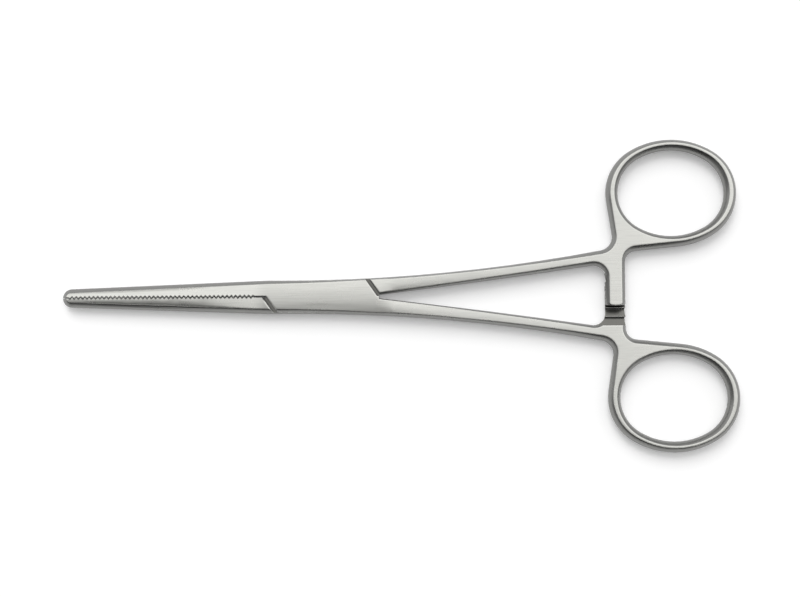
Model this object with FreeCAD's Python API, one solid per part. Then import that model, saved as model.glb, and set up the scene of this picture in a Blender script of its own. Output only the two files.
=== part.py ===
# Straight hemostat forceps, closed, lying flat: two box-locked halves and the rivet they turn on.
# The origin is where the pivot axis meets the underside of the box lock. X runs to the finger
# rings, Z runs up along the pivot, and the box half's jaw is on the +Y side. Sizes are in mm.
import FreeCAD
import Part
import os
from math import acos, atan2, cos, hypot, pi, radians, sin, sqrt, tan

Vector = FreeCAD.Vector

# Half of the height at each place along the tool, measured from the middle plane
box_half_height = 2.15
ring_half_height = 1.85
tip_half_height = 1.45
taper_start_x = 14.0
taper_middle = (32.0, 2.0)

# Jaws
jaw_length = 70.0
jaw_tip_radius = 2.5
jaw_tip_least_radius = 0.4
jaw_root_x = -14.5
jaw_tip_crown = 0.3

# Serrations across both jaws, which stand a little further apart at the root than at the tip
tooth_pitch = 1.161
tooth_depth = 0.62
tooth_count = 43
first_tooth_x = -67.9
tip_gap = 0.18
root_gap = 0.3

# Outer bow of each shank, from the jaw root to the corner where the neck turns off
box_half_width = 4.5
bow_middle = (30.0, 6.1)
neck_corner = (77.5, 12.65)
neck_fillet = 3.6

# Inner edge of each shank, from the crotch to the ratchet arm
crotch = (15.2, 0.45)
inner_middle = (46.9, 4.4)
inner_corner = (74.9, 8.35)
inner_fillet = 3.0

# Ratchet arms and their racks
arm_width = 5.5
arm_ring_corner_y = 11.45
arm_fillet = 3.0
arm_end_bow = 0.25
arm_end_radius = 0.6
arm_reach = 2.65
rack_pitch = 2.32
rack_depth = 0.75
rack_lean = 0.25
rack_end_land = 1.35
rack_clearance = 0.1
rack_root_y = 8.1

# Finger rings, four-arc ovals, placed by the near sides that the neck and the arm grow into
opening_half_length = 14.0
opening_half_width = 11.45
ring_end_band = 3.25
ring_side_band = 2.9
end_radius_share = 0.918
ring_near_x = 75.45
ring_near_y = 12.8
ring_half_length = opening_half_length + ring_end_band
ring_half_width = opening_half_width + ring_side_band
ring_centre = (ring_near_x + ring_half_length, ring_near_y + ring_half_width)

# How far the rounded sides carry the edge of the ground top in from the outline
tip_inset = 1.3
box_inset = 1.4
crotch_inset = 0.4
shank_inset = 0.85
ring_inset = 1.12
side_bands = 3

# Crown of the ground top along the box and along each shank, where it starts and runs out
box_crown_radius = 24.0
shank_crown_radius = 8.0
crown_start_x = 19.0
crown_end_x = 66.0
flat_start_x = 72.0

# Box lock
web_thickness = 1.9
web_clearance = 0.05
hub_radius = 5.4
hub_clearance = 0.08
plate_end_x = 14.7
plate_slant = radians(55.0)
groove_width = 1.28
pin_radius = 1.75
pin_running_clearance = 0.03

# How far a cutting shape reaches past what it cuts
spare = 5.0


def point(xy, z=0.0):
    return Vector(xy[0], xy[1], z)


def line(start, end):
    return Part.LineSegment(point(start), point(end)).toShape()


def arc(start, middle, end):
    return Part.Arc(point(start), point(middle), point(end)).toShape()


def polar(centre, radius, angle):
    return (centre[0] + radius * cos(angle), centre[1] + radius * sin(angle))


def arc_about(centre, radius, start, end):
    middle = (start + end) / 2
    return arc(polar(centre, radius, start), polar(centre, radius, middle), polar(centre, radius, end))


def touch_angle(corner, centre, radius, side):
    # where a straight line from the corner touches the circle, as an angle about its centre
    dx = corner[0] - centre[0]
    dy = corner[1] - centre[1]
    return atan2(dy, dx) + side * acos(radius / hypot(dx, dy))


def rounded(first, second, radius):
    # the two edges, cut back, with a fillet between them
    fillet = Part.ChFi2d.FilletAlgo(first, second, Part.Plane(point((0, 0)), Vector(0, 0, 1)))
    fillet.perform(radius)
    curve, first, second = fillet.result(first.Vertexes[-1].Point)
    return [first, curve, second]


def oval(half_length, half_width, inset):
    # four tangent arcs about the ring's centre, pulled in by the inset: their centres, radii and
    # the angle at which they meet
    end_radius = end_radius_share * half_width - inset
    half_length -= inset
    half_width -= inset
    end = half_length - end_radius
    side_radius = (end**2 + half_width**2 - end_radius**2) / (2 * (half_width - end_radius))
    side = side_radius - half_width
    x, y = ring_centre
    return {
        "left": (x - end, y), "right": (x + end, y), "below": (x, y - side), "above": (x, y + side),
        "end_radius": end_radius, "side_radius": side_radius, "split": atan2(side, end)}


def inset_at(z, place_inset, place_half_height):
    # the side rounds off as a parabola from the outline at mid height to the edge of the flat
    return place_inset * (z / place_half_height) ** 2


def jaw_and_bow_edges(z):
    # tip, jaw back and outer edge of the shank, out to the neck, pulled in for this height
    root = (jaw_root_x, box_half_width - inset_at(z, box_inset, box_half_height))
    radius = max(jaw_tip_radius - inset_at(z, tip_inset, tip_half_height), jaw_tip_least_radius)
    centre = (jaw_tip_radius - jaw_length, 0.0)
    touch = touch_angle(root, centre, radius, 1)
    at_neck = inset_at(z, ring_inset, ring_half_height)
    middle = (bow_middle[0], bow_middle[1] - inset_at(z, shank_inset, box_half_height))
    neck = (neck_corner[0] + at_neck, neck_corner[1] - at_neck)
    tip = [arc_about(centre, radius, pi, touch), line(polar(centre, radius, touch), root)]
    return tip, arc(root, middle, neck), neck


def ring_edges(z, neck, arm_corner):
    # outer edge of the ring, from the line that leaves the neck round to the ratchet arm's line
    inset = inset_at(z, ring_inset, ring_half_height)
    ring = oval(ring_half_length, ring_half_width, inset)
    split = ring["split"]
    leave = touch_angle(neck, ring["left"], ring["end_radius"], -1) % (2 * pi)
    arrive = touch_angle(arm_corner, ring["above"], ring["side_radius"], 1)
    neck_line = line(neck, polar(ring["left"], ring["end_radius"], leave))
    arm_line = line(polar(ring["above"], ring["side_radius"], arrive), arm_corner)
    arcs = [
        arc_about(ring["left"], ring["end_radius"], leave, pi - split),
        arc_about(ring["below"], ring["side_radius"], pi - split, split),
        arc_about(ring["right"], ring["end_radius"], split, -split),
        arc_about(ring["above"], ring["side_radius"], -split, arrive)]
    return neck_line, arcs, arm_line


def blade_outline(z):
    # closed outline of the blade on the +Y side at a height z from the middle plane
    inset = inset_at(z, ring_inset, ring_half_height)
    tip, bow, neck = jaw_and_bow_edges(z)
    inner_x = inner_corner[0] + inset
    outer_x = inner_corner[0] + arm_width - inset
    arm_corner = (outer_x, arm_ring_corner_y + inset)
    neck_line, ring, arm_line = ring_edges(z, neck, arm_corner)

    outer_end = (outer_x, -arm_reach)
    inner_end = (inner_x, -arm_reach)
    end_middle = ((inner_x + outer_x) / 2, -arm_reach - arm_end_bow)
    corner = (inner_x, inner_corner[1] + inset)
    middle = (inner_middle[0], inner_middle[1] + inset_at(z, shank_inset, box_half_height))
    start = (crotch[0], crotch[1] + inset_at(z, crotch_inset, box_half_height))

    edges = tip + rounded(bow, neck_line, neck_fillet + inset) + ring
    edges += rounded(arm_line, line(arm_corner, outer_end), arm_fillet + inset)
    edges += rounded(edges.pop(), arc(outer_end, end_middle, inner_end), arm_end_radius)
    edges += rounded(edges.pop(), line(inner_end, corner), arm_end_radius)
    edges += rounded(edges.pop(), arc(corner, middle, start), inner_fillet + inset)
    edges.append(line(start, (crotch[0], 0.0)))
    edges.append(line((crotch[0], 0.0), tip[0].Vertexes[0].Point[:2]))
    return Part.Wire(edges)


def opening_outline(z):
    # outline of the finger opening, which grows as the ring's side rounds off
    inset = inset_at(z, ring_inset, ring_half_height)
    hole = oval(opening_half_length, opening_half_width, -inset)
    split = hole["split"]
    return Part.Wire([
        arc_about(hole["right"], hole["end_radius"], -split, split),
        arc_about(hole["below"], hole["side_radius"], split, pi - split),
        arc_about(hole["left"], hole["end_radius"], pi - split, pi + split),
        arc_about(hole["above"], hole["side_radius"], -pi + split, -split)])


def rounded_plate(outline_at):
    # solid whose outline at each height comes from the given function
    wires = []
    for band in range(-side_bands, side_bands + 1):
        z = box_half_height * band / side_bands
        wire = outline_at(z)
        wire.translate(Vector(0, 0, box_half_height + z))
        wires.append(wire)
    return Part.makeLoft(wires, True, True)


def prism(points, z_low, z_high):
    # straight-sided block over a closed outline of corner points
    corners = [point(xy, z_low) for xy in points]
    face = Part.Face(Part.makePolygon(corners + corners[:1]))
    return face.extrude(Vector(0, 0, z_high - z_low))


def full_height_prism(points):
    return prism(points, -spare, 2 * box_half_height + spare)


def on_arc(start, middle, end, x):
    # height at x of the circle through three points, on the middle point's side of its centre
    circle = arc(start, middle, end).Curve
    rise = sqrt(circle.Radius**2 - (x - circle.Center.x) ** 2)
    return circle.Center.y + (rise if middle[1] > circle.Center.y else -rise)


def half_height_at(x):
    # the height falls along an arc from the box to the rings
    ring = (ring_centre[0], ring_half_height)
    return on_arc((taper_start_x, box_half_height), taper_middle, ring, min(x, ring[0]))


def shank_middle(x):
    # line half way between the outer bow and the inner edge of a shank
    outer = on_arc((jaw_root_x, box_half_width), bow_middle, neck_corner, x)
    return (outer + on_arc(crotch, inner_middle, inner_corner, x)) / 2


def crown_drop(radius, half_width):
    return radius - sqrt(radius**2 - half_width**2)


def ground_section(x, middle_y, half_width, top_drop, bottom_drop, half_height):
    # upright section between the ground faces, which drop from their middle to either side
    def at(y, height):
        return Vector(x, middle_y + y, box_half_height + height)

    def across(y, height, edge_height):
        start = at(y, edge_height)
        end = at(-y, edge_height)
        if height == edge_height:
            return Part.LineSegment(start, end).toShape()
        return Part.Arc(start, at(0, height), end).toShape()
    top_edge = half_height - top_drop
    bottom_edge = bottom_drop - half_height
    right = Part.LineSegment(at(half_width, top_edge), at(half_width, bottom_edge)).toShape()
    left = Part.LineSegment(at(-half_width, bottom_edge), at(-half_width, top_edge)).toShape()
    top = across(-half_width, half_height, top_edge)
    return Part.Wire([top, right, across(half_width, -half_height, bottom_edge), left])


def ground_faces():
    # what is left between the top and bottom grinding: jaws crowned above and below, box and
    # shanks crowned above, and flat rings and arms
    tip = ground_section(
        -jaw_length, 0, jaw_tip_radius, jaw_tip_crown, jaw_tip_crown, tip_half_height)
    box_reach = box_half_width + spare
    box_drop = crown_drop(box_crown_radius, box_reach)
    shank_drop = crown_drop(shank_crown_radius, spare)
    handle_reach = ring_centre[1] + ring_half_width + spare
    end_x = ring_centre[0] + ring_half_length + spare
    sections = [tip]
    for x in (jaw_root_x, taper_start_x):
        sections.append(ground_section(x, 0, box_reach, box_drop, 0, box_half_height))
    for x in (crown_start_x, inner_middle[0], crown_end_x):
        section = ground_section(x, shank_middle(x), spare, shank_drop, 0, half_height_at(x))
        sections.append(section)
    for x in (flat_start_x, ring_centre[0], end_x):
        middle = shank_middle(flat_start_x)
        sections.append(ground_section(x, middle, handle_reach, 0, 0, half_height_at(x)))
    return Part.makeLoft(sections, True, True)


def blade():
    # jaw, half of the box, shank, ring and ratchet arm on the +Y side, as one ground forging
    forging = rounded_plate(blade_outline).cut(rounded_plate(opening_outline))
    return forging.common(ground_faces())


def mirrored(shape):
    return shape.mirror(Vector(0, 0, 0), Vector(0, 1, 0))


def slant_x(x, y):
    # X of the slanted end of a plate or shoulder that crosses the parting plane at x
    return x - y / tan(plate_slant)


def parting_line(side):
    # serrated edge of one jaw from the last tooth to the tip: side is 1 above the gap, -1 below
    slope = (root_gap - tip_gap) / (jaw_root_x + jaw_length)

    def edge_point(x, height):
        return (x, side * (tip_gap + slope * (x + jaw_length)) / 2 + height)
    last_tooth_x = first_tooth_x + tooth_count * tooth_pitch
    points = [edge_point(last_tooth_x, 0.0)]
    for half in range(2 * tooth_count - 1, -1, -1):
        height = tooth_depth / 2 if half % 2 else -tooth_depth / 2
        points.append(edge_point(first_tooth_x + (half + 0.5) * tooth_pitch / 2, height))
    points.append(edge_point(first_tooth_x, 0.0))
    points.append(edge_point(-jaw_length - spare, 0.0))
    return points


def lower_jaw_region(side, end_x):
    # everything below the parting line and left of the slanted end
    near_y = side * root_gap / 2
    far_y = -box_half_width - spare
    ends = [(-jaw_length - spare, far_y), (slant_x(end_x, far_y), far_y), (slant_x(end_x, near_y), near_y)]
    return full_height_prism(parting_line(side) + ends)


def upper_handle_region(end_x):
    # everything on the ring side of a slanted end, for the blade on the +Y side
    far_x = ring_centre[0] + ring_half_length + spare
    far_y = ring_centre[1] + ring_half_width + spare
    near_y = -arm_reach - spare
    low = (slant_x(end_x, near_y), near_y)
    high = (slant_x(end_x, far_y), far_y)
    return full_height_prism([low, (far_x, near_y), (far_x, far_y), high])


def lock_zone(radius, edge_y, half_height):
    # plan of the web or of its slot: a hub with one wing to the lower jaw, one to the upper shank
    reach_x = plate_end_x + groove_width + spare / 2
    reach_y = box_half_width + spare
    low = box_half_height - half_height
    high = box_half_height + half_height
    hub = Part.makeCylinder(radius, high - low, Vector(0, 0, low))
    jaw_wing = prism([(-reach_x, -reach_y), (0, -reach_y), (0, edge_y), (-reach_x, edge_y)], low, high)
    shank_wing = prism([(0, -edge_y), (reach_x, -edge_y), (reach_x, reach_y), (0, reach_y)], low, high)
    return hub.fuse([jaw_wing, shank_wing])


def pin_bore(radius):
    return Part.makeCylinder(radius, 2 * (box_half_height + spare), Vector(0, 0, -spare))


def rack_cut():
    # what is cut from above the box half's arm: a step down at the root, then as many sawteeth
    # as fit, each dropping steeply on the root side of its crest
    x_low = inner_corner[0] - inner_fillet
    x_high = inner_corner[0] + arm_width + arm_fillet
    crest = box_half_height - rack_clearance / 2
    top = 2 * box_half_height + spare
    end_y = arm_reach + spare
    first_crest_y = arm_reach - rack_end_land
    profile = [(end_y, top), (end_y, crest), (first_crest_y, crest)]
    for tooth in range(int((first_crest_y + rack_root_y) / rack_pitch)):
        crest_y = first_crest_y - tooth * rack_pitch
        profile.append((crest_y, crest))
        profile.append((crest_y - rack_lean, crest - rack_depth))
        profile.append((crest_y - rack_pitch, crest))
    profile += [(-rack_root_y, crest), (-rack_root_y, top)]
    corners = [Vector(x_low, y, z) for y, z in profile]
    face = Part.Face(Part.makePolygon(corners + corners[:1]))
    return face.extrude(Vector(x_high - x_low, 0, 0))


def upside_down(shape):
    # half a turn about the line along X through the middle of the tool
    return shape.rotated(Vector(0, 0, box_half_height), Vector(1, 0, 0), 180)


def make_box_half(upper, lower):
    # upper jaw, both plates of the box and the lower shank, ring and arm
    body = upper.cut(upper_handle_region(plate_end_x)).fuse(lower)
    body = body.cut(lower_jaw_region(1, -plate_end_x))
    slot = lock_zone(hub_radius + hub_clearance, root_gap / 2, web_thickness / 2 + web_clearance)
    body = body.cut(slot).cut(pin_bore(pin_radius))
    return body.cut(rack_cut()).removeSplitter()


def make_inner_half(upper, lower):
    # lower jaw, the web through the box, and the upper shank, ring and arm
    shoulder_x = plate_end_x + groove_width
    closed_box = upper.cut(upper_handle_region(shoulder_x + spare)).fuse(lower)
    web = closed_box.common(lock_zone(hub_radius, -root_gap / 2, web_thickness / 2))
    jaw = closed_box.common(lower_jaw_region(-1, -shoulder_x))
    shank = upper.common(upper_handle_region(shoulder_x))
    body = web.fuse([jaw, shank]).cut(pin_bore(pin_radius + pin_running_clearance))
    return body.cut(upside_down(rack_cut())).removeSplitter()


def make_pivot_pin():
    # rivet, ground flush with both faces of the box
    return Part.makeCylinder(pin_radius, 2 * box_half_height).common(ground_faces())


def save(name, shape):
    solids = shape.Solids
    print(name, len(solids), "solid", shape.isValid(), round(shape.Volume, 2))
    solids[0].exportStep(os.path.join("parts", name + ".step"))


os.makedirs("parts", exist_ok=True)
upper_blade = blade()
lower_blade = mirrored(upper_blade)
save("box_half", make_box_half(upper_blade, lower_blade))
save("inner_half", make_inner_half(upper_blade, lower_blade))
save("pivot_pin", make_pivot_pin())
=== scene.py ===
import math
import bpy
from mathutils import Matrix, Vector

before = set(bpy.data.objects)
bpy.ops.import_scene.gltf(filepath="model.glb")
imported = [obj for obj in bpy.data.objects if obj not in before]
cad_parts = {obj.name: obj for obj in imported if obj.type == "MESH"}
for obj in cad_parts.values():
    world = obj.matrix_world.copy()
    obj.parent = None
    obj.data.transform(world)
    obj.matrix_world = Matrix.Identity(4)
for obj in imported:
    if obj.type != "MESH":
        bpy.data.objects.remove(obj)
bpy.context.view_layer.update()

# lengths are in metres, angles in degrees; the tool lies flat, tip towards -X, rivet at the origin


def plug(tree, source, socket):
    # a socket takes a link or a fixed value
    if isinstance(source, bpy.types.NodeSocket):
        tree.links.new(source, socket)
    else:
        socket.default_value = source


def combine(tree, operation, first, second=None):
    node = tree.nodes.new("ShaderNodeMath")
    node.operation = operation
    plug(tree, first, node.inputs[0])
    if second is not None:
        plug(tree, second, node.inputs[1])
    return node.outputs[0]


def ramp(tree, source, limits, results=(0.0, 1.0)):
    # smooth step of a value between two limits
    node = tree.nodes.new("ShaderNodeMapRange")
    node.interpolation_type = "SMOOTHSTEP"
    node.inputs["From Min"].default_value, node.inputs["From Max"].default_value = limits
    node.inputs["To Min"].default_value, node.inputs["To Max"].default_value = results
    plug(tree, source, node.inputs["Value"])
    return node.outputs["Result"]


def blend(tree, factor, low, high):
    # mixes two colours, each a socket or a plain colour
    node = tree.nodes.new("ShaderNodeMix")
    node.data_type = "RGBA"
    plug(tree, factor, node.inputs["Factor"])
    for source, name in ((low, "A"), (high, "B")):
        plug(tree, (*source, 1.0) if isinstance(source, tuple) else source, node.inputs[name])
    return node.outputs["Result"]


def noise(tree, vector, scale, detail):
    node = tree.nodes.new("ShaderNodeTexNoise")
    plug(tree, vector, node.inputs["Vector"])
    plug(tree, scale, node.inputs["Scale"])
    node.inputs["Detail"].default_value = detail
    return node.outputs["Fac"]


def cosine(tree, direction, other):
    # of the angle between a direction and another one, linked or fixed
    node = tree.nodes.new("ShaderNodeVectorMath")
    node.operation = "DOT_PRODUCT"
    plug(tree, direction, node.inputs[0])
    plug(tree, Vector(other).normalized() if isinstance(other, tuple) else other, node.inputs[1])
    return node.outputs["Value"]


def split(tree, source):
    node = tree.nodes.new("ShaderNodeSeparateXYZ")
    tree.links.new(source, node.inputs[0])
    return tuple(node.outputs)


def join(tree, *parts):
    node = tree.nodes.new("ShaderNodeCombineXYZ")
    for part, socket in zip(parts, node.inputs):
        tree.links.new(part, socket)
    return node.outputs[0]


def turned(tree, source, before, after):
    # a normal, from one space to another
    node = tree.nodes.new("ShaderNodeVectorTransform")
    node.vector_type = "NORMAL"
    node.convert_from, node.convert_to = before, after
    tree.links.new(source, node.inputs[0])
    return node.outputs[0]


def newGroup(name, inputs, outputs):
    # a shader group whose inputs and outputs are plain numbers
    group = bpy.data.node_groups.new(name, "ShaderNodeTree")
    for label, value in inputs.items():
        socket = group.interface.new_socket(
            name=label, in_out="INPUT", socket_type="NodeSocketFloat")
        socket.default_value = value
    for label in outputs:
        group.interface.new_socket(name=label, in_out="OUTPUT", socket_type="NodeSocketFloat")
    start = group.nodes.new("NodeGroupInput")
    end = group.nodes.new("NodeGroupOutput")
    return group, start.outputs, end.inputs


def placeGroup(tree, group, **values):
    node = tree.nodes.new("ShaderNodeGroup")
    node.node_tree = group
    for label, value in values.items():
        node.inputs[label].default_value = value
    return node.outputs


grainLook = {
    "streakDetail": 3.0,
    "cloudScale": 180.0,    # clouds to the metre
    "cloudDetail": 2.0,
}


def makeBrushedGrain():
    # fine streaks along the tool, and slow cloudy variation
    group, given, result = newGroup(
        "brushedGrain", {"Scale": 9000.0, "Stretch": 60.0}, ("Streaks", "Clouds"))
    coords = group.nodes.new("ShaderNodeTexCoord")
    along = combine(group, "DIVIDE", given["Scale"], given["Stretch"])
    squeeze = group.nodes.new("ShaderNodeVectorMath")
    squeeze.operation = "MULTIPLY"
    plug(group, coords.outputs["Object"], squeeze.inputs[0])
    plug(group, join(group, along, given["Scale"], given["Scale"]), squeeze.inputs[1])
    streaks = noise(group, squeeze.outputs[0], 1.0, grainLook["streakDetail"])
    clouds = noise(
        group, coords.outputs["Object"], grainLook["cloudScale"], grainLook["cloudDetail"])
    plug(group, streaks, result["Streaks"])
    plug(group, clouds, result["Clouds"])
    return group


edgeLook = {
    "samples": 6,
    "edgeFrom": (0.998, 0.93),    # cosine of the normal's turn, where an edge begins and is full
    "patchDetail": 2.0,
    "patchFrom": (0.35, 0.6),     # noise, where a patch of polish begins and is full
    "leastWear": 0.45,            # polish left between the patches
}


def makeEdgeFinder():
    # how near a real edge is, and how much of its polish is left there; that polish mask also
    # places a painted highlight
    group, given, result = newGroup(
        "edgeFinder", {"Reach": 0.0001, "Patches": 700.0}, ("Edge", "WearAndGlint"))
    surface = group.nodes.new("ShaderNodeNewGeometry")
    rounded = group.nodes.new("ShaderNodeBevel")
    rounded.samples = edgeLook["samples"]
    plug(group, given["Reach"], rounded.inputs["Radius"])
    same = cosine(group, surface.outputs["Normal"], rounded.outputs["Normal"])
    edge = ramp(group, same, edgeLook["edgeFrom"])
    coords = group.nodes.new("ShaderNodeTexCoord")
    patches = noise(
        group, coords.outputs["Object"], given["Patches"], edgeLook["patchDetail"])
    left = ramp(group, patches, edgeLook["patchFrom"], (edgeLook["leastWear"], 1.0))
    plug(group, edge, result["Edge"])
    plug(group, combine(group, "MULTIPLY", edge, left), result["WearAndGlint"])
    return group


steelLook = {
    "landColor": (0.77, 0.77, 0.73),      # ground faces
    "sideColorAndShade": (0.25, 0.25, 0.242),     # rounded sides, darker than the lands: painted shade
    "wornAndGlintColor": (0.86, 0.86, 0.83),      # edges that handling has polished, lightened further as a painted highlight
    "recessShadeColor": (0.21, 0.207, 0.192),  # faces near the middle plane, racks and grooves: painted shade in these recesses
    "hollowShadeAndStreakColor": (0.10, 0.10, 0.098),   # painted shade where little light gets in; also the colour of the grain's dark streaks
    "seamColor": (0.02, 0.02, 0.02),      # painted shade in the gap along the teeth
    "landAbove": (0.80, 0.96),            # how upright a face is where the land begins and is full
    "middleZ": 0.00215,
    "recessWithin": (0.0013, 0.0014),     # height from the middle plane, where milled faces end
    "hollowReach": 0.0006,
    "hollowFrom": (0.55, 0.92),           # openness, where the painted shade of a hollow is full and ends
    "hollowSamples": 8,
    "teethShadeReach": 0.00034,
    "teethShadeFrom": (0.0, 0.5),               # nearness of a tooth, where the painted shade begins and is full
    "wearAndGlintReach": 0.00025,
    "wornPolish": 0.7,                    # share of the roughness left on worn edges
    "landRoughness": 0.28,
    "sideRoughness": 0.28,
    "cloudRoughness": 0.10,               # how far the roughness varies in all
    "grainScale": 9000.0,                 # streaks to the metre
    "grainStretch": 60.0,                 # how many times longer than wide
    "streakFrom": (0.3, 0.6),             # noise, where a dark streak is full and ends
    "streakDepth": 0.12,
    "grainDepth": 0.00002,
    "grainStrength": 0.25,
    "edgeRadius": 0.0006,                 # of the soft shading over edges
    "edgeSamples": 8,
    "recessSharper": 0.35,                # share of that radius on milled faces
    "jawEdgeRadius": 0.0013,              # towards the tip the jaws are rounded further in
    "jawRoundedX": (-0.040, -0.016),      # where that is full and ends
    "jawCrown": 3.6,                      # times the sideways tilt of the jaws' ground faces there
    "jawLean": 0.10,                      # how far these faces lean towards +Y besides
    "jawLeanX": (-0.019, -0.0145),
    "jawRootX": -0.0145,
    "rivetClear": (0.0021, 0.0027),       # no soft edge within this distance of the rivet's axis
    "teethClear": (0.0008, 0.0014),       # nor within this distance of the jaws' parting line
}

# the rivet: ground flush with the box, so its ends are as the lands, and turned bright between them
rivetLook = {**steelLook, "sideColorAndShade": (0.60, 0.60, 0.585)}


def makeSteel(name, look, brushedGrain, edgeFinder):
    material = bpy.data.materials.new(name)
    material.use_nodes = True
    tree = material.node_tree
    shader = tree.nodes["Principled BSDF"]
    shader.inputs["Metallic"].default_value = 1.0
    grain = placeGroup(tree, brushedGrain, Scale=look["grainScale"], Stretch=look["grainStretch"])
    coords = tree.nodes.new("ShaderNodeTexCoord")
    placeX, placeY, placeZ = split(tree, coords.outputs["Object"])
    upright = split(tree, coords.outputs["Normal"])[2]

    # masks for the colour: upright ground land against the sides, faces near the middle plane, and
    # hollows; sides, recesses and hollows get painted shade
    land = ramp(tree, combine(tree, "ABSOLUTE", upright), look["landAbove"])
    height = combine(tree, "ABSOLUTE", combine(tree, "SUBTRACT", placeZ, look["middleZ"]))
    recess = ramp(tree, height, look["recessWithin"], (1.0, 0.0))
    cavity = tree.nodes.new("ShaderNodeAmbientOcclusion")
    cavity.samples = look["hollowSamples"]
    cavity.inputs["Distance"].default_value = look["hollowReach"]
    exposed = ramp(tree, cavity.outputs["AO"], look["hollowFrom"])

    # edges look soft everywhere but at the teeth and the rivet
    reach = tree.nodes.new("ShaderNodeVectorMath")
    reach.operation = "LENGTH"
    plug(tree, join(tree, placeX, placeY), reach.inputs[0])
    offRivet = ramp(tree, reach.outputs["Value"], look["rivetClear"])
    offLine = ramp(tree, combine(tree, "ABSOLUTE", placeY), look["teethClear"])
    pastJaws = combine(tree, "GREATER_THAN", placeX, look["jawRootX"])
    offTeeth = combine(tree, "MAXIMUM", offLine, pastJaws)
    softness = combine(tree, "MULTIPLY", offTeeth, offRivet)

    # colour: lands, with painted shade on the sides and on faces near the middle plane, then worn
    # edges with a painted highlight, painted shade along the teeth and in hollows, and streaks
    # faces near the middle plane are darkened: painted shade in the recesses
    ground = blend(tree, recess, look["landColor"], look["recessShadeColor"])
    # faces that are not upright take a darker copy of the steel: painted shade
    steel = blend(tree, land, look["sideColorAndShade"], ground)
    edges = placeGroup(tree, edgeFinder, Reach=look["wearAndGlintReach"])
    wearAndGlintMask = combine(tree, "MULTIPLY", edges["WearAndGlint"], softness)
    # worn edges are lightened: real polish, and a painted highlight along them
    steel = blend(tree, wearAndGlintMask, steel, look["wornAndGlintColor"])
    # a near-black line on the lands beside the teeth: painted shade of the gap
    teeth = placeGroup(tree, edgeFinder, Reach=look["teethShadeReach"])
    shadeAlongTeeth = combine(tree, "MULTIPLY", ramp(tree, teeth["Edge"], look["teethShadeFrom"]), land)
    seam = combine(tree, "MULTIPLY", shadeAlongTeeth, combine(tree, "SUBTRACT", offRivet, softness))
    steel = blend(tree, seam, steel, look["seamColor"])
    # darker where the cavity finds the faces closed in: painted shade
    steel = blend(tree, exposed, look["hollowShadeAndStreakColor"], steel)
    streaks = ramp(tree, grain["Streaks"], look["streakFrom"], (look["streakDepth"], 0.0))
    steel = blend(tree, streaks, steel, look["hollowShadeAndStreakColor"])
    plug(tree, steel, shader.inputs["Base Color"])

    # roughness: cloudy, and smoother where it is worn
    clouds = combine(tree, "MULTIPLY", grain["Clouds"], look["cloudRoughness"])
    below = look["cloudRoughness"] / 2.0
    base = ramp(
        tree, land, (0.0, 1.0), (look["sideRoughness"] - below, look["landRoughness"] - below))
    polish = ramp(tree, wearAndGlintMask, (0.0, 1.0), (1.0, look["wornPolish"]))
    rough = combine(tree, "MULTIPLY", combine(tree, "ADD", clouds, base), polish)
    plug(tree, rough, shader.inputs["Roughness"])

    # normal: soft edges, rounder jaws, then the grain
    sharper = ramp(tree, recess, (0.0, 1.0), (1.0, look["recessSharper"]))
    radius = ramp(tree, placeX, look["jawRoundedX"], (look["jawEdgeRadius"], look["edgeRadius"]))
    soft = tree.nodes.new("ShaderNodeBevel")
    soft.samples = look["edgeSamples"]
    radius = combine(tree, "MULTIPLY", radius, sharper)
    plug(tree, combine(tree, "MULTIPLY", softness, radius), soft.inputs["Radius"])
    softX, softY, softZ = split(tree, turned(tree, soft.outputs["Normal"], "WORLD", "OBJECT"))
    crown = ramp(tree, placeX, look["jawRoundedX"], (look["jawCrown"], 1.0))
    lean = ramp(tree, placeX, look["jawLeanX"], (look["jawLean"], 0.0))
    leaning = combine(tree, "ADD", combine(tree, "MULTIPLY", softY, crown), lean)
    onSides = combine(tree, "MULTIPLY", softY, ramp(tree, land, (0.0, 1.0), (1.0, 0.0)))
    sideways = combine(tree, "ADD", onSides, combine(tree, "MULTIPLY", leaning, land))
    rounded = turned(tree, join(tree, softX, sideways, softZ), "OBJECT", "WORLD")
    bump = tree.nodes.new("ShaderNodeBump")
    bump.inputs["Strength"].default_value = look["grainStrength"]
    bump.inputs["Distance"].default_value = look["grainDepth"]
    plug(tree, grain["Streaks"], bump.inputs["Height"])
    plug(tree, rounded, bump.inputs["Normal"])
    plug(tree, bump.outputs["Normal"], shader.inputs["Normal"])
    return material


shadingLook = {
    "mergeWithin": 0.000002,
    "sharpAbove": 30.2,    # edges that turn further than this stay sharp
}


def makeSmoothShade():
    # joins the faces' shared borders and keeps only real edges sharp
    tree = bpy.data.node_groups.new("smoothShade", "GeometryNodeTree")
    for side in ("INPUT", "OUTPUT"):
        tree.interface.new_socket(
            name="Geometry", in_out=side, socket_type="NodeSocketGeometry")
    start = tree.nodes.new("NodeGroupInput")
    end = tree.nodes.new("NodeGroupOutput")
    merge = tree.nodes.new("GeometryNodeMergeByDistance")
    merge.inputs["Distance"].default_value = shadingLook["mergeWithin"]
    angle = tree.nodes.new("GeometryNodeInputMeshEdgeAngle")
    sharp = tree.nodes.new("FunctionNodeCompare")
    sharp.operation = "GREATER_THAN"
    sharp.inputs[1].default_value = math.radians(shadingLook["sharpAbove"])
    normals = tree.nodes.new("GeometryNodeSetMeshNormal")
    normals.mode = "SHARPNESS"
    tree.links.new(start.outputs[0], merge.inputs["Geometry"])
    tree.links.new(merge.outputs[0], normals.inputs["Mesh"])
    tree.links.new(angle.outputs["Unsigned Angle"], sharp.inputs[0])
    tree.links.new(sharp.outputs[0], normals.inputs["Edge Sharpness"])
    tree.links.new(normals.outputs["Mesh"], end.inputs[0])
    return tree


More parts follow.
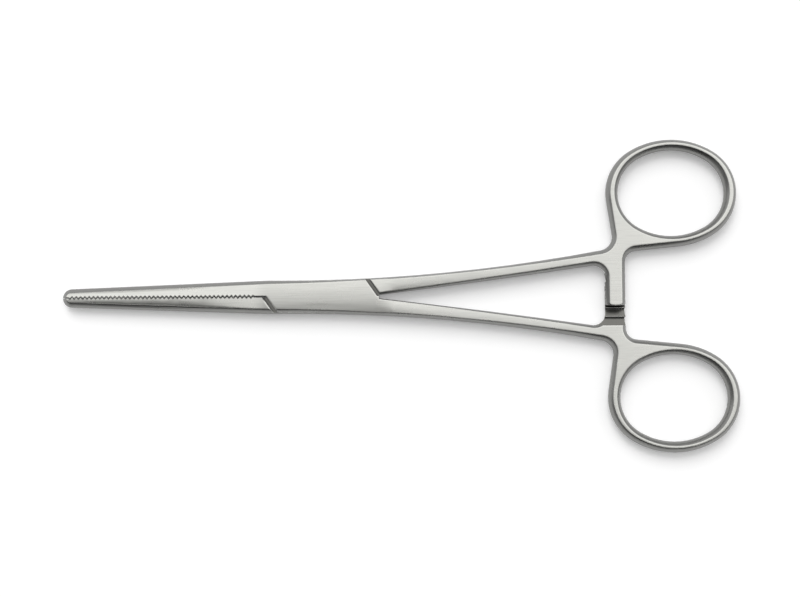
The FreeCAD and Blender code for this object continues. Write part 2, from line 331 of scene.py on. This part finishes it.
def dressNodes(bladeSteel, rivetSteel, smoothShade):
    for name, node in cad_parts.items():
        node.data.materials.clear()
        node.data.materials.append(rivetSteel if name == "pivot_pin" else bladeSteel)
        modifier = node.modifiers.new("smoothShade", "NODES")
        modifier.node_group = smoothShade


floorLook = {
    "size": 3.0,
    "drop": 0.00002,    # below the tool, so that the two don't share a plane
    "color": (0.88, 0.88, 0.88),
    "lift": 0.24,       # added where the camera or a reflection looks at the floor
}


def seenBy(tree):
    # which rays look at a thing: the camera's, and those mirrored or let through
    rays = tree.nodes.new("ShaderNodeLightPath").outputs
    mirrored = combine(tree, "MAXIMUM", rays["Is Glossy Ray"], rays["Is Transmission Ray"])
    return rays["Is Camera Ray"], mirrored


def makeFloor():
    bpy.ops.mesh.primitive_plane_add(size=floorLook["size"])
    floor = bpy.context.object
    floor.name = "paleFloor"
    floor.location.z = -floorLook["drop"]
    material = bpy.data.materials.new("paleFloor")
    material.use_nodes = True
    tree = material.node_tree
    tree.nodes.clear()
    diffuse = tree.nodes.new("ShaderNodeBsdfDiffuse")
    diffuse.inputs["Color"].default_value = (*floorLook["color"], 1.0)
    lift = tree.nodes.new("ShaderNodeEmission")
    seen = combine(tree, "MAXIMUM", *seenBy(tree))
    plug(tree, combine(tree, "MULTIPLY", seen, floorLook["lift"]), lift.inputs["Strength"])
    add = tree.nodes.new("ShaderNodeAddShader")
    out = tree.nodes.new("ShaderNodeOutputMaterial")
    tree.links.new(diffuse.outputs[0], add.inputs[0])
    tree.links.new(lift.outputs[0], add.inputs[1])
    tree.links.new(add.outputs[0], out.inputs["Surface"])
    floor.data.materials.append(material)


# each pair is where an effect begins and is full, or its rim and its middle,
# as the cosine of the angle to a direction or as the sine of the height
skyLook = {
    "toward": (0.05, 0.97, 0.22),       # the bright side of the room
    "brightFrom": (-0.14, 0.26),
    "bright": 1.30,
    "dark": 0.10,
    "shadeToward": (-0.12, 0.05, 1.0),  # a soft shade overhead
    "shadeFrom": (0.960, 0.982),
    "shadeLeaves": 0.74,
    "horizon": 0.42,                    # least light from round the room
    "horizonFrom": (0.85, 0.45),
    "cardToward": (0.0, -0.86, 0.5),    # the black card that draws the dark line along near edges
    "cardFrom": (0.74, 0.84),
    "backdropFrom": (0.10, 0.02),       # the white walls that the steel mirrors
}


def makeSky():
    world = bpy.data.worlds.new("studioSky")
    bpy.context.scene.world = world
    world.use_nodes = True
    tree = world.node_tree
    tree.nodes.clear()
    direction = tree.nodes.new("ShaderNodeTexCoord").outputs["Generated"]
    height = split(tree, direction)[2]
    glow = ramp(
        tree, cosine(tree, direction, skyLook["toward"]),
        skyLook["brightFrom"], (skyLook["dark"], skyLook["bright"]))
    shade = ramp(
        tree, cosine(tree, direction, skyLook["shadeToward"]),
        skyLook["shadeFrom"], (1.0, skyLook["shadeLeaves"]))
    offCard = ramp(
        tree, cosine(tree, direction, skyLook["cardToward"]), skyLook["cardFrom"], (1.0, 0.0))
    room = ramp(tree, height, skyLook["horizonFrom"], (0.0, skyLook["horizon"]))
    above = combine(tree, "MULTIPLY", glow, shade)
    around = combine(tree, "MULTIPLY", room, offCard)
    sky = tree.nodes.new("ShaderNodeBackground")
    plug(tree, combine(tree, "MAXIMUM", above, around), sky.inputs["Strength"])

    # white behind the object, and in its reflections near the horizon
    white = tree.nodes.new("ShaderNodeBackground")
    white.inputs["Color"].default_value = (1.0, 1.0, 1.0, 1.0)
    camera, mirrored = seenBy(tree)
    walls = combine(tree, "MULTIPLY", mirrored, ramp(tree, height, skyLook["backdropFrom"]))
    mix = tree.nodes.new("ShaderNodeMixShader")
    out = tree.nodes.new("ShaderNodeOutputWorld")
    plug(tree, combine(tree, "MAXIMUM", camera, walls), mix.inputs["Fac"])
    tree.links.new(sky.outputs[0], mix.inputs[1])
    tree.links.new(white.outputs[0], mix.inputs[2])
    tree.links.new(mix.outputs[0], out.inputs["Surface"])


keyLight = {
    "place": (-0.92, 3.68, 4.00),
    "aim": (0.02, 0.0, 0.0),
    "size": (3.36, 3.36),
    "power": 142.0,    # watts
}


def makeKeyLamp():
    data = bpy.data.lights.new("keyLamp", "AREA")
    data.shape = "RECTANGLE"
    data.size, data.size_y = keyLight["size"]
    data.energy = keyLight["power"]
    lamp = bpy.data.objects.new("keyLamp", data)
    bpy.context.scene.collection.objects.link(lamp)
    lamp.location = keyLight["place"]
    aim = Vector(keyLight["aim"]) - lamp.location
    lamp.rotation_euler = aim.to_track_quat("-Z", "Y").to_euler()
    lamp.visible_glossy = False    # the steel mirrors the sky alone


# seen from nearly straight above, in a picture of 800 x 597
photoCamera = {
    "place": (0.029, -0.026, 0.278),
    "target": (0.02068, -0.0112, 0.00215),
    "focal": 1.2995,    # in picture widths
    "shiftY": 0.05,
    "roll": -0.18,
    "sensor": 36.0,     # millimetres
    "clip": (0.01, 10.0),
}


def makeCamera():
    data = bpy.data.cameras.new("photoCamera")
    camera = bpy.data.objects.new("photoCamera", data)
    bpy.context.scene.collection.objects.link(camera)
    data.sensor_width = photoCamera["sensor"]
    data.lens = photoCamera["sensor"] * photoCamera["focal"]
    data.shift_y = photoCamera["shiftY"]
    data.clip_start, data.clip_end = photoCamera["clip"]
    place = Vector(photoCamera["place"])
    back = (place - Vector(photoCamera["target"])).normalized()
    right = Vector((0.0, 1.0, 0.0)).cross(back).normalized()
    up = back.cross(right)
    level = Matrix((right, up, back)).transposed()
    roll = Matrix.Rotation(math.radians(photoCamera["roll"]), 3, "Z")
    camera.matrix_world = Matrix.Translation(place) @ (level @ roll).to_4x4()
    bpy.context.scene.camera = camera


print("steel: brushed grain, edges and dirt")
brushedGrain = makeBrushedGrain()
edgeFinder = makeEdgeFinder()
bladeSteel = makeSteel("satinSteel", steelLook, brushedGrain, edgeFinder)
rivetSteel = makeSteel("pinSteel", rivetLook, brushedGrain, edgeFinder)
print("both halves and the rivet: steel and smooth shading")
dressNodes(bladeSteel, rivetSteel, makeSmoothShade())
print("floor, sky and lamp")
makeFloor()
makeSky()
makeKeyLamp()
print("camera")
makeCamera()
bpy.context.scene.view_settings.view_transform = "Standard"

print("finished")
